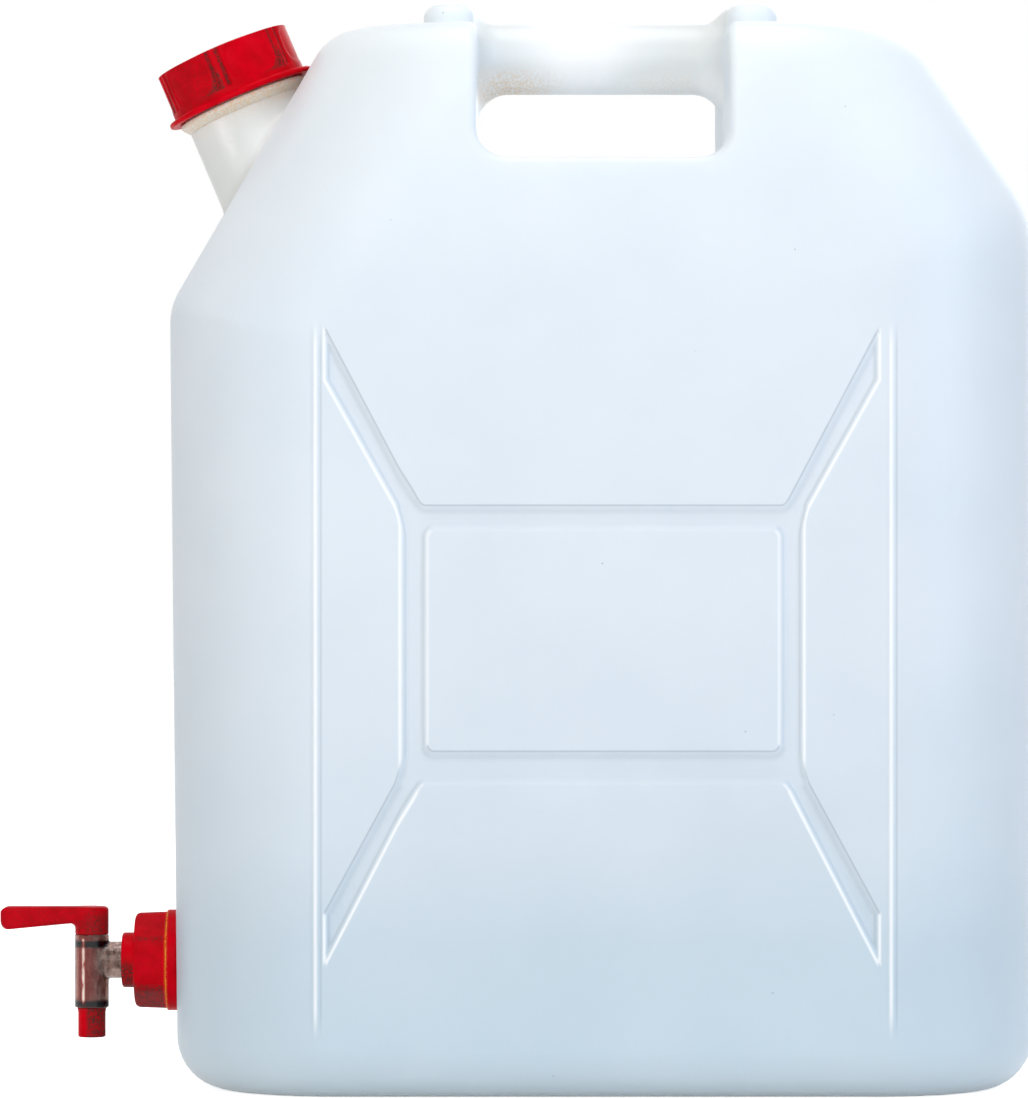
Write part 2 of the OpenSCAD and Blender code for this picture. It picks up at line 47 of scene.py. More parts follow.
# Sizes of the can, as its solid has them. Only its relief is shallower and slightly moved.
HALF_W, HALF_D, TOP = 169.0, 87.5, 414.0
CORNER_R, BASE_R, RIM_R, LEAN_IN = 62.0, 20.0, 18.0, 3.0
FILL_FOOT, FILL_PEAK, FILL_FOOT_R = 306.0, 106.0, 25.0
BACK_FOOT, BACK_PEAK, BACK_FOOT_R = 342.0, 120.0, 50.0
BAND_DEPTH, BAND_W, LOW_BAND_W, WALL_W = 1.6, 10.0, 13.0, 3.3
PANEL_HALF, PANEL_LOW, PANEL_HIGH = 67.0, 134.0, 218.0
BAND_END, BAND_TIP_HIGH, BAND_TIP_LOW, BAND_TIP_H = 105.8, 297.0, 50.5, 21.5
BAND_LEAD, BAND_HEEL = 2.4, 4.0
BEAD_X, BEAD_OUT, BEAD_HALF = 110.0, 0.6, 1.9
BEAD_LOW, BEAD_HIGH, BEAD_FADE = 22.0, 300.0, 14.0
POCKET_HALF, POCKET_FLOOR, POCKET_R, POCKET_EDGE = 48.5, 361.0, 11.7, 3.5
GRIP_R, GRIP_Z, GRIP_FILLET = 14.0, 405.2, 12.0
LUG_X, LUG_R, LUG_REACH, LUG_TOP, LUG_EDGE, LUG_FILLET = 59.0, 10.5, 21.5, 424.5, 5.0, 4.0
NECK_X, NECK_Z, NECK_LEAN = -142.0, 389.0, np.radians(23)
NECK_R, NECK_BORE_R, NECK_ROOT, NECK_FILLET, NECK_SEAT = 24.0, 20.5, 60.0, 3.5, 1.4
RECESS_R, RECESS_DEEP, RECESS_ROUND, RECESS_EDGE = 34.0, 14.0, 6.0, 1.5
# Where the tap's level axis leaves the can, and how far out its upright axis is.
TAP_X, TAP_Z, TAP_REACH = -166.470588, 48.0, 35.1
BARREL_X = TAP_X - TAP_REACH


# ---------------------------------------------------------------- shape tools
def joined(a, b, r):
    """Two forms made one, with a fillet of radius r where they meet: inside the
    fillet's reach the distance is r less the length of what each lacks of r."""
    short = np.hypot(np.maximum(r - a, 0), np.maximum(r - b, 0))
    return np.maximum(r, np.minimum(a, b)) - short


def common(a, b, r):
    """What two forms share, its edge rounded with radius r: within r of both
    skins the distance is the length of how far each is past -r, less r."""
    past = np.hypot(np.maximum(r + a, 0), np.maximum(r + b, 0))
    return np.minimum(-r, np.maximum(a, b)) + past


def cut(a, b, r):
    """The first form less the second, the new edge rounded with radius r."""
    return common(a, -b, r)


def bent(a, b, r, c):
    """What two slanting skins share, where c is the cosine between their normals:
    between both tangents the distance is the length of the way from the arc's
    centre, found from its parts a + r and b + r along the normals, less r."""
    u, v = a + r, b + r
    way = np.sqrt(np.maximum(u * u + v * v - 2 * u * v * c, 0) / (1 - c * c))
    return np.where((u > v * c) & (v > u * c), way - r, np.maximum(a, b))


def ramp(t):
    """Smooth step: 0 below 0, 1 above 1, and 3t^2 - 2t^3 between."""
    t = np.clip(t, 0, 1)
    return t * t * (3 - 2 * t)


def beyond(x, z, a, b):
    """Distance of (x, z) to the right of the line from a to b: the cross product
    of the line's unit direction with the way from a to the point."""
    way = np.subtract(b, a) / np.hypot(*np.subtract(b, a))
    return (x - a[0]) * way[1] - (z - a[1]) * way[0]


def slopes(form, p, reach=0.05):
    """Gradient of a form's distance by central differences of 0.05 mm."""
    g = np.empty_like(p)
    for k in range(3):
        step = np.zeros(3)
        step[k] = reach
        g[:, k] = (form(p + step) - form(p - step)) / (2 * reach)
    return g


def settle(form, p, times=3):
    """Newton steps that carry points onto the form's skin: each goes back along
    the gradient by the distance over the gradient's squared length."""
    for _ in range(times):
        g = slopes(form, p)
        p = p - g * (form(p) / np.maximum((g * g).sum(1), 0.05))[:, None]
    return p


def cell_skin(form, low, high, pitch):
    """Zero level of a form as quads: a point in each grid cell that the skin
    crosses, and a quad round each grid edge whose ends lie on either side."""
    low = np.array(low, float)
    size = np.ceil((np.array(high) - low) / pitch).astype(int) + 1
    grid = np.stack(np.meshgrid(*[np.arange(n) for n in size], indexing="ij"), -1)
    inside = form(low + pitch * grid.reshape(-1, 3)).reshape(size) < 0
    quads = []
    for k in range(3):
        a, b = np.eye(3, dtype=int)[(k + 1) % 3], np.eye(3, dtype=int)[(k + 2) % 3]
        near, far = [slice(None)] * 3, [slice(None)] * 3
        near[k], far[k] = slice(None, -1), slice(1, None)
        crossed = inside[tuple(near)] != inside[tuple(far)]
        at = np.argwhere(crossed)
        around = np.stack([at - a - b, at - b, at, at - a], 1)
        outward = inside[tuple(at.T)]
        around = np.where(outward[:, None, None], around, around[:, ::-1])
        quads.append(np.ravel_multi_index(tuple(np.moveaxis(around, -1, 0)), size))
    cells, quads = np.unique(np.concatenate(quads), return_inverse=True)
    centre = np.stack(np.unravel_index(cells, size), -1) + 0.5
    return low + pitch * centre, quads.reshape(-1, 4)


def relaxed(form, p, quads, times):
    """Spreads the points evenly: each goes half way to its neighbours' mean,
    less the part along the skin's normal, and is settled again."""
    ends = np.concatenate([quads, np.roll(quads, -1, 1)], 1).reshape(-1, 2, 4)
    one, two = ends[:, 0].ravel(), ends[:, 1].ravel()
    one, two = np.r_[one, two], np.r_[two, one]
    count = np.bincount(one, minlength=len(p))[:, None]
    for _ in range(times):
        mean = np.stack([np.bincount(one, p[two, k], len(p)) for k in range(3)], 1)
        n = slopes(form, p)
        n /= np.linalg.norm(n, axis=1, keepdims=True)
        move = mean / count - p
        p = settle(form, p + 0.5 * (move - n * (move * n).sum(1, keepdims=True)), 1)
    return p


def halved(form, p, tri, limit, bend):
    """Halves each edge that is longer than its limit, or whose two normals differ
    by more than the bend, and splits the triangles on it into two, three or four."""
    ends = np.sort(np.stack([tri, np.roll(tri, -1, 1)], -1), -1).reshape(-1, 2)
    key, which = np.unique(ends[:, 0] * len(p) + ends[:, 1], return_inverse=True)
    one, two = key // len(p), key % len(p)
    n = slopes(form, p)
    n /= np.linalg.norm(n, axis=1, keepdims=True)
    long = np.linalg.norm(p[one] - p[two], axis=1)
    turned_by = np.arccos(np.clip((n[one] * n[two]).sum(1), -1, 1))
    most, least = limit((p[one] + p[two]) / 2)
    split = (long > most) | ((turned_by > bend) & (long > least))
    new = np.full(len(key), -1)
    new[split] = len(p) + np.arange(split.sum())
    mid = new[which].reshape(-1, 3)
    p = np.concatenate([p, settle(form, (p[one] + p[two])[split] / 2)])
    has = mid >= 0
    count = has.sum(1)
    first = np.where(count == 2, (~has).argmax(1) + 1, 0)
    first = np.where(count == 1, has.argmax(1), first) % 3
    turn = (first[:, None] + np.arange(3)) % 3
    t, m = np.take_along_axis(tri, turn, 1), np.take_along_axis(mid, turn, 1)
    parts = [t[count == 0]]
    for need, pattern in (
        (1, ((0, 3, 2), (3, 1, 2))),
        (2, ((3, 1, 4), (0, 3, 4), (0, 4, 2))),
        (3, ((0, 3, 5), (3, 1, 4), (5, 4, 2), (3, 4, 5))),
    ):
        six = np.concatenate([t, m], 1)[count == need]
        parts += [six[:, list(corners)] for corners in pattern]
    return p, np.concatenate(parts)


def skin_of(form, low, high, pitch, limit, rounds, bend=0.2):
    """Mesh of a form: its cells' quads, spread evenly, cut into triangles and
    halved where the limit or the bend asks. Normals are the form's gradient."""
    p, quads = cell_skin(form, low, high, pitch)
    p = relaxed(form, settle(form, p, 4), quads, 6)
    tri = np.concatenate([quads[:, [0, 1, 2]], quads[:, [0, 2, 3]]])
    for _ in range(rounds):
        p, tri = halved(form, p, tri, limit, bend)
    p = settle(form, p, 2)
    n = slopes(form, p)
    return p, tri, n / np.linalg.norm(n, axis=1, keepdims=True)


def arc_corner(before, corner, after, r, steps=8):
    """Arc of radius r that rounds a corner: its centre lies on the corner's
    bisector at r over the sine of half the angle."""
    before, corner, after = (np.array(c, float) for c in (before, corner, after))
    back = (before - corner) / np.linalg.norm(before - corner)
    ahead = (after - corner) / np.linalg.norm(after - corner)
    half = np.arccos(np.clip(back @ ahead, -1, 1)) / 2
    middle = (back + ahead) / np.linalg.norm(back + ahead)
    centre = corner + middle * r / np.sin(half)
    start, stop = corner + back * r / np.tan(half), corner + ahead * r / np.tan(half)
    from_a = np.arctan2(*(start - centre)[::-1])
    sweep = (np.arctan2(*(stop - centre)[::-1]) - from_a + np.pi) % (2 * np.pi) - np.pi
    angle = from_a + sweep * np.linspace(0, 1, steps + 1)
    return centre + r * np.stack([np.cos(angle), np.sin(angle)], 1)


def rounded_path(corners, spacing, closed=False):
    """Profile through corners (radius, height, rounding), each rounded by its
    arc, with points on the straight runs no further apart than the spacing, and
    one 0.15 mm from each end of a run, so that its shading stays flat."""
    corners = np.array(corners, float)
    n = len(corners)
    parts = []
    for i, r in enumerate(corners[:, 2]):
        last = not closed and i in (0, n - 1)
        around = corners[i - 1, :2], corners[i, :2], corners[(i + 1) % n, :2]
        parts.append(corners[i : i + 1, :2] if last or r == 0 else arc_corner(*around, r))
    path = np.concatenate(parts + [parts[0][:1]] * closed)
    length = np.r_[0, np.cumsum(np.linalg.norm(np.diff(path, axis=0), axis=1))]
    places = [length]
    for a, b in zip(length[:-1], length[1:]):
        if b - a > 0.5:
            places += [np.linspace(a, b, int(np.ceil((b - a) / spacing)) + 1),
                       [a + 0.15, b - 0.15]]
    places = np.unique(np.round(np.concatenate(places), 4))
    return np.stack([np.interp(places, length, path[:, k]) for k in (0, 1)], 1)


def turned(profile, turns, shape=None):
    """A profile (radius, height) carried round the axis in equal turns, where
    shape may change the radius from radius, height and angle."""
    angle = np.arange(turns) * 2 * np.pi / turns
    r = np.repeat(profile[:, :1], turns, 1)
    h = np.repeat(profile[:, 1:], turns, 1)
    if shape:
        r = shape(r, h, angle[None, :])
    p = np.stack([r * np.cos(angle), r * np.sin(angle), h], -1).reshape(-1, 3)
    i, j = np.meshgrid(np.arange(len(profile) - 1), np.arange(turns), indexing="ij")
    i, k = i * turns, (j + 1) % turns
    quads = np.stack([i + j, i + k, i + turns + k, i + turns + j], -1)
    return p, quads.reshape(-1, 4)


def at_neck(p):
    """From the fill neck's own frame, axis along Z, to the can's frame."""
    c, s = np.cos(NECK_LEAN), np.sin(NECK_LEAN)
    x, y, z = p.T
    return np.stack([NECK_X + x * c - z * s, y, NECK_Z + x * s + z * c], 1)


def at_tap(p):
    """From the tap's own frame, axis along Z, to the can's frame, axis to -X."""
    x, y, z = p.T
    return np.stack([TAP_X - z, y, TAP_Z + x], 1)


def made(name, body, slot, material, p, faces, normals=None, **values):
    """Puts points and faces into a mesh piece that rides on a body, smooth, with
    its doubles merged, or with the normals and point values that are given."""
    mesh = bpy.data.meshes.new(name)
    mesh.from_pydata((p * MM).tolist(), [], faces.tolist())
    for label, value in values.items():
        layer = mesh.attributes.new(label, "FLOAT", "POINT")
        layer.data.foreach_set("value", value.astype(np.float32))
    if normals is None:
        work = bmesh.new()
        work.from_mesh(mesh)
        bmesh.ops.remove_doubles(work, verts=work.verts, dist=1e-6)
        work.to_mesh(mesh)
        work.free()
    mesh.shade_smooth()
    if normals is not None:
        mesh.normals_split_custom_set_from_vertices(normals.tolist())
    piece = bpy.data.objects.new(name, mesh)
    bpy.context.scene.collection.objects.link(piece)
    mesh.materials.append(material)
    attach(piece, body)
    return piece


# ------------------------------------------------------------------ materials
def tint(code):
    """sRGB hex to linear RGBA."""
    c = np.array([int(code[i : i + 2], 16) for i in (1, 3, 5)]) / 255
    c = np.where(c <= 0.04045, c / 12.92, ((c + 0.055) / 1.055) ** 2.4)
    return (*c.tolist(), 1.0)


def node(tree, kind, links=None, **settings):
    """Adds a node with its settings, and fills its sockets from links: each is
    another node's output, or a constant for the socket."""
    new = tree.nodes.new("ShaderNode" + kind)
    for name, value in settings.items():
        setattr(new, name, value)
    for socket, source in (links or {}).items():
        if isinstance(source, bpy.types.NodeSocket):
            tree.links.new(source, new.inputs[socket])
        else:
            new.inputs[socket].default_value = source
    return new


def stops(ramp_node, *pairs):
    """Sets a colour ramp's stops from (place, hex) pairs."""
    items = ramp_node.color_ramp.elements
    while len(items) < len(pairs):
        items.new(0.5)
    for item, (place, code) in zip(items, pairs):
        item.position, item.color = place, tint(code)
    return ramp_node


def scale_of(size):
    """A pattern's scale, from the size of its features in millimetres."""
    return 1 / (size * MM)


def value_at(tree, name):
    """A piece's own point value of that name."""
    return node(tree, "Attribute", attribute_name=name).outputs["Fac"]


def blend(tree, share, base, colour):
    """Base, with its share of another colour, which is a socket or a hex."""
    colour = tint(colour) if isinstance(colour, str) else colour
    return node(tree, "Mix", {"Factor": share, 6: base, 7: colour}, data_type="RGBA").outputs[2]


def seen_rays(tree):
    """1 for the rays that should see the backdrop white: from the camera, and
    those that a glossy or a clear surface sends on."""
    rays = node(tree, "LightPath").outputs
    seen = rays["Is Camera Ray"]
    for kind in ("Is Glossy Ray", "Is Transmission Ray"):
        seen = node(tree, "Math", {0: seen, 1: rays[kind]}, operation="MAXIMUM").outputs[0]
    return seen


def blank(name):
    """A material with an empty tree and its output node."""
    material = bpy.data.materials.new(name)
    material.use_nodes = True
    tree = material.node_tree
    tree.nodes.clear()
    return material, tree, node(tree, "OutputMaterial")


def natural_polyethylene():
    """Unpigmented high-density polyethylene, blow moulded in a blasted mould: a
    milky satin skin with painted shade that makes it darker and bluer towards the
    base, painted highlights and shade along its relief, a faint orange peel, a
    pinch line round the sides and a few dark specks."""
    material, tree, out = blank("blow_moulded_natural_polyethylene")
    place = node(tree, "TexCoord").outputs["Object"]
    axes = node(tree, "SeparateXYZ", {0: place}).outputs
    # Painted shade: the tone grows darker and bluer towards the base and whiter towards the top.
    height = node(tree, "MapRange", {"Value": axes["Z"], "From Max": (TOP + 10) * MM})
    tone = stops(
        node(tree, "ValToRGB", {0: height.outputs[0]}),
        (0.0, "#ccd8de"), (0.05, "#c7d6e0"), (0.14, "#c7d5df"), (0.23, "#d3dde5"),
        (0.45, "#dde4eb"), (0.73, "#e1e8ef"), (0.95, "#edf3f7"),
    ).outputs["Color"]
    # Clouds of wall thickness, 60 mm across.
    clouds = node(tree, "TexNoise", {"Vector": place, "Scale": scale_of(60), "Detail": 2.0})
    cloudy = stops(node(tree, "ValToRGB", {0: clouds.outputs["Fac"]}),
                   (0.3, "#f8fafb"), (0.7, "#ffffff"))
    tone = node(tree, "Mix", {"Factor": 1.0, 6: tone, 7: cloudy.outputs["Color"]},
                data_type="RGBA", blend_type="MULTIPLY").outputs[2]
    edge, lit, dim, run, grey, shine, stained = (
        value_at(tree, k) for k in ("edge", "lit", "dim", "run", "grey", "shine", "stain")
    )

    def line(distance, centre, half, share, weight):
        """Share of a line: a smooth hump across a distance in millimetres."""
        off = node(tree, "Math", {0: distance, 1: centre}, operation="SUBTRACT").outputs[0]
        off = node(tree, "Math", {0: off}, operation="ABSOLUTE").outputs[0]
        hump = node(tree, "MapRange", {"Value": off, "From Max": half, "To Min": share,
                                       "To Max": 0.0}, interpolation_type="SMOOTHSTEP").outputs[0]
        return node(tree, "Math", {0: hump, 1: weight}, operation="MULTIPLY").outputs[0]

    # Distance across a bead in millimetres, from its middle line.
    side = node(tree, "Math", {0: axes["X"]}, operation="SIGN").outputs[0]
    bead = node(tree, "Math", {0: axes["X"], 1: 1 / MM}, operation="MULTIPLY").outputs[0]
    bead = node(tree, "Math", {0: side, 1: -BEAD_X, 2: bead}, operation="MULTIPLY_ADD").outputs[0]
    # Painted highlights and painted shade along the bands' edges and the beads: edges that
    # face up or sideways get a painted highlight with painted shade beside it, those that
    # face down a painted dark line, and each bead a painted highlight with painted shade
    # to its right.
    shade, light = "#7d8f9c", "#ffffff"
    for across, centre, half, share, weight, code in (
        (edge, -2.6, 2.6, 0.10, dim, shade), (edge, -0.3, 0.65, 0.42, dim, shade),
        (edge, -1.9, 0.8, 0.22, lit, shade), (bead, 2.1, 0.8, 0.25, run, shade),
        (edge, -0.2, 1.0, 0.75, lit, light), (bead, 0.0, 1.2, 0.7, run, light),
    ):
        tone = blend(tree, line(across, centre, half, share, weight), tone, code)
    # The thick neck and handle are a neutral grey. The beige, mottled at 1.1 mm, is painted
    # light bounced from the red cap under its flange, and patches towards the handle's ends.
    mottle = node(tree, "TexNoise", {"Vector": place, "Scale": scale_of(1.1), "Detail": 4.0,
                                     "Roughness": 0.7}).outputs["Fac"]
    mottle = node(tree, "MapRange", {"Value": mottle, "From Min": 0.34, "From Max": 0.62})
    stain = node(tree, "Math", {0: stained, 1: mottle.outputs[0]}, operation="MULTIPLY")
    tone = blend(tree, grey, tone, "#dfe1df")
    # Painted highlights on the neck and handle, and painted light on the neck's lower side.
    tone = blend(tree, shine, tone, light)
    tone = blend(tree, stain.outputs[0], tone, "#e2c4a0")
    # Specks about 0.7 mm across, one in a cell of 24 mm, where the skin meets it.
    cells = node(tree, "TexVoronoi", {"Vector": place, "Scale": scale_of(24)})
    speck = node(tree, "MapRange", {"Value": cells.outputs["Distance"], "From Min": 0.010,
                                    "From Max": 0.020, "To Min": 0.35, "To Max": 0.0})
    colour = blend(tree, speck.outputs[0], tone, "#4d5256")
    # Orange peel of 3.5 mm and blasted grain drawn at 0.9 mm, which is coarser than real.
    peel = node(tree, "TexNoise", {"Vector": place, "Scale": scale_of(3.5), "Detail": 1.0})
    grain = node(tree, "TexNoise", {"Vector": place, "Scale": scale_of(0.9), "Detail": 2.0})
    # Pinch line of the two mould halves, about 1 mm wide, at Y = 0.
    off = node(tree, "Math", {0: axes["Y"]}, operation="ABSOLUTE").outputs[0]
    pinch = node(tree, "MapRange", {"Value": off, "From Min": 0.2 * MM, "From Max": 0.7 * MM,
                                    "To Min": 1.0, "To Max": 0.0})
    bump = node(tree, "Bump", {"Height": peel.outputs["Fac"], "Strength": 0.35,
                               "Distance": 0.12 * MM})
    bump = node(tree, "Bump", {"Height": grain.outputs["Fac"], "Strength": 0.25,
                               "Distance": 0.04 * MM, "Normal": bump.outputs[0]})
    bump = node(tree, "Bump", {"Height": pinch.outputs[0], "Strength": 0.8,
                               "Distance": 0.4 * MM, "Normal": bump.outputs[0]})
    gloss = node(tree, "MapRange", {"Value": clouds.outputs["Fac"], "To Min": 0.36,
                                    "To Max": 0.48})
    shader = node(tree, "BsdfPrincipled", {
        "Base Color": colour, "Roughness": gloss.outputs[0], "IOR": 1.54,
        "Subsurface Weight": 0.35, "Subsurface Radius": (1.0, 0.9, 0.8),
        "Subsurface Scale": 6 * MM, "Normal": bump.outputs[0],
    }, subsurface_method="RANDOM_WALK")
    tree.links.new(shader.outputs[0], out.inputs[0])
    return material


def red_polyethylene():
    """Red pigmented polyethylene, injection moulded: a strong even red with a low
    sheen. Its point values give a painted shade of dark red mottle, a painted
    grey-brown shade in grooves and corners, and a painted yellow highlight along an edge."""
    material, tree, out = blank("moulded_red_polyethylene")
    place = node(tree, "TexCoord").outputs["Object"]
    # Flow marks of 6 mm.
    flow = node(tree, "TexNoise", {"Vector": place, "Scale": scale_of(6), "Detail": 2.0})
    colour = stops(node(tree, "ValToRGB", {0: flow.outputs["Fac"]}),
                   (0.3, "#c00012"), (0.55, "#d00017"), (0.75, "#da001a")).outputs["Color"]
    # Mottle of 0.7 mm that breaks up each mark.
    fine = node(tree, "TexNoise", {"Vector": place, "Scale": scale_of(0.7), "Detail": 5.0,
                                   "Roughness": 0.7})
    broken = node(tree, "MapRange", {"Value": fine.outputs["Fac"], "From Min": 0.40,
                                     "From Max": 0.58})
    # Painted shade in dark red and in grey-brown, and a painted yellow highlight, each broken up
    # by the mottle.
    for mark, code in (("worn", "#7d1a1c"), ("dirt", "#3f302d"), ("glint", "#f0a23c")):
        share = node(tree, "Math", {0: value_at(tree, mark), 1: broken.outputs[0]},
                     operation="MULTIPLY")
        colour = blend(tree, share.outputs[0], colour, code)
    bump = node(tree, "Bump", {"Height": fine.outputs["Fac"], "Strength": 0.2,
                               "Distance": 0.06 * MM})
    gloss = node(tree, "MapRange", {"Value": flow.outputs["Fac"], "From Min": 0.3, "From Max": 0.7,
                                    "To Min": 0.42, "To Max": 0.32})
    shader = node(tree, "BsdfPrincipled", {
        "Base Color": colour, "Roughness": gloss.outputs[0], "IOR": 1.5,
        "Specular IOR Level": 0.03, "Normal": bump.outputs[0],
    })
    tree.links.new(shader.outputs[0], out.inputs[0])
    return material


def clear_polypropylene():
    """Unpigmented polypropylene, injection moulded: a smoky see-through wall with
    brown streaks, which the plug reddens. Where a ring is pressed to the wall no
    air is left between them, so its black shows clearly."""
    material, tree, out = blank("moulded_clear_polypropylene")
    place = node(tree, "TexCoord").outputs["Object"]
    # Haze of 1.6 mm, drawn out to streaks along Z.
    streaks = node(tree, "Mapping", {"Vector": place, "Scale": (1.0, 1.0, 0.35)})
    haze = node(tree, "TexNoise", {"Vector": streaks.outputs[0], "Scale": scale_of(1.6),
                                   "Detail": 5.0, "Roughness": 0.7})
    colour = stops(node(tree, "ValToRGB", {0: haze.outputs["Fac"]}),
                   (0.38, "#6b4f46"), (0.5, "#a3857a"), (0.64, "#cdb7ab")).outputs["Color"]
    # The rings show black, and the plug reddens the tube's left part.
    colour = blend(tree, value_at(tree, "pressed"), colour, "#0b0f14")
    colour = blend(tree, value_at(tree, "reddened"), colour, "#b03a30")
    # A painted highlight streak runs down the front, broken by the haze and orange at its sides.
    gaps = node(tree, "MapRange", {"Value": haze.outputs["Fac"], "From Min": 0.36,
                                   "From Max": 0.56, "To Min": 0.35})
    glint = node(tree, "Math", {0: value_at(tree, "glint"), 1: gaps.outputs[0]},
                 operation="MULTIPLY").outputs[0]
    streak = stops(node(tree, "ValToRGB", {0: glint}), (0.2, "#b4493c"), (0.75, "#fff0e2"))
    edge = node(tree, "MapRange", {"Value": glint, "From Max": 0.3})
    colour = blend(tree, edge.outputs[0], colour, streak.outputs["Color"])
    clear = node(tree, "MapRange", {"Value": glint, "From Max": 0.5, "To Min": 0.74,
                                    "To Max": 0.1})
    bump = node(tree, "Bump", {"Height": haze.outputs["Fac"], "Strength": 0.15,
                               "Distance": 0.1 * MM})
    gloss = node(tree, "MapRange", {"Value": haze.outputs["Fac"], "To Min": 0.08,
                                    "To Max": 0.22})
    shader = node(tree, "BsdfPrincipled", {
        "Base Color": colour, "Roughness": gloss.outputs[0], "IOR": 1.36,
        "Transmission Weight": clear.outputs[0], "Normal": bump.outputs[0],
    })
    tree.links.new(shader.outputs[0], out.inputs[0])
    return material


def moulded_seal(name, dark, pale, rough, size):
    """A soft moulded seal: matt, with a fine mottle of the given size in millimetres."""
    material, tree, out = blank(name)
    place = node(tree, "TexCoord").outputs["Object"]
    mottle = node(tree, "TexNoise", {"Vector": place, "Scale": scale_of(size), "Detail": 3.0})
    colour = stops(node(tree, "ValToRGB", {0: mottle.outputs["Fac"]}), (0.35, dark), (0.7, pale))
    bump = node(tree, "Bump", {"Height": mottle.outputs["Fac"], "Strength": 0.3,
                               "Distance": 0.05 * MM})
    shader = node(tree, "BsdfPrincipled", {"Base Color": colour.outputs["Color"], "IOR": 1.5,
                                           "Roughness": rough, "Normal": bump.outputs[0]})
    tree.links.new(shader.outputs[0], out.inputs[0])
    return material


def studio_floor():
    """Matt white paper: seen from the camera it lies on the white, less its shadow."""
    material, tree, out = blank("matt_white_paper")
    matt = node(tree, "BsdfDiffuse", {"Color": tint("#f2f2f2")})
    glow = node(tree, "Emission", {"Color": tint("#ffffff"), "Strength": 0.75})
    both = node(tree, "AddShader", {0: matt.outputs[0], 1: glow.outputs[0]})
    mix = node(tree, "MixShader", {0: seen_rays(tree), 1: matt.outputs[0], 2: both.outputs[0]})
    tree.links.new(mix.outputs[0], out.inputs[0])
    return material


# ----------------------------------------------------------------- can's body
def band_edge(x, z):
    """Distance into the face from the sunk bands' outline, negative in a band: a
    frame round the middle panel joined with a slanted band towards each corner.
    The bands on the fill side are 1 mm wider."""
    x = np.abs(x) - ramp(-x / 8 - 8.9)
    outer = common(x - PANEL_HALF - BAND_W,
                   np.maximum(PANEL_LOW - LOW_BAND_W - z, z - PANEL_HIGH - BAND_W), 2.5)
    inner = common(x - PANEL_HALF, np.maximum(PANEL_LOW - z, z - PANEL_HIGH), 2.5)
    edges = cut(outer, inner, 0.5)
    for tip, foot in ((BAND_TIP_HIGH, PANEL_HIGH + BAND_W),
                      (BAND_TIP_LOW, PANEL_LOW - LOW_BAND_W)):
        way = np.sign(tip - foot)
        over = beyond(x, way * z, (BAND_END, way * tip), (PANEL_HALF + BAND_LEAD, way * foot))
        under = beyond(x, way * z, (PANEL_HALF + BAND_W, way * foot - BAND_HEEL),
                       (BAND_END, way * tip - BAND_TIP_H))
        across = np.subtract((PANEL_HALF + BAND_LEAD, foot), (BAND_END, tip))
        lean = abs(across[1]) / np.hypot(*across)
        lean = np.where(over > under, -lean, lean)
        arm = bent(np.maximum(over, under), x - BAND_END, 0.4, lean)
        edges = joined(edges, bent(arm, PANEL_HALF + 3 - x, 0.5, 0), 2.5)
    return edges


def bead_run(z):
    """How much of a bead there is at a height: all of it, faded out at both ends."""
    return ramp((z - BEAD_LOW) / BEAD_FADE) * ramp((BEAD_HIGH - z) / BEAD_FADE)


def relief(x, z):
    """How far the broad face lies in: the band's depth by a smooth step over its
    wall's width inside its outline, less a round bead on each side."""
    sunk = BAND_DEPTH * ramp(-band_edge(x, z) / WALL_W)
    across = np.clip(np.abs(np.abs(x) - BEAD_X) / BEAD_HALF, 0, 1)
    return sunk - BEAD_OUT * (1 - across**2) ** 2 * bead_run(z)


def band_light(x, z):
    """How much painted highlight a band's wall gets where it faces up or sideways,
    and how much painted shade where it faces down, from the slope of the outline's
    distance. Beside the middle panel the painted highlight is weaker."""
    across = (band_edge(x + 0.3, z) - band_edge(x - 0.3, z)) / 0.6
    up = (band_edge(x, z - 0.3) - band_edge(x, z + 0.3)) / 0.6
    inner = np.where(np.abs(x) < PANEL_HALF + 4, 0.6, 1.0)
    lit = inner * ramp((np.abs(across) - 0.2) / 0.5) * ramp((up + 0.3) / 0.35)
    return lit, ramp((-up - 0.15) / 0.25)


def neck_frame(p):
    """Radius from the fill neck's axis, height along it, and distance across it."""
    c, s = np.cos(NECK_LEAN), np.sin(NECK_LEAN)
    dx, dz = p[:, 0] - NECK_X, p[:, 2] - NECK_Z
    across = dx * c + dz * s
    return np.hypot(across, p[:, 1]), dz * c - dx * s, across


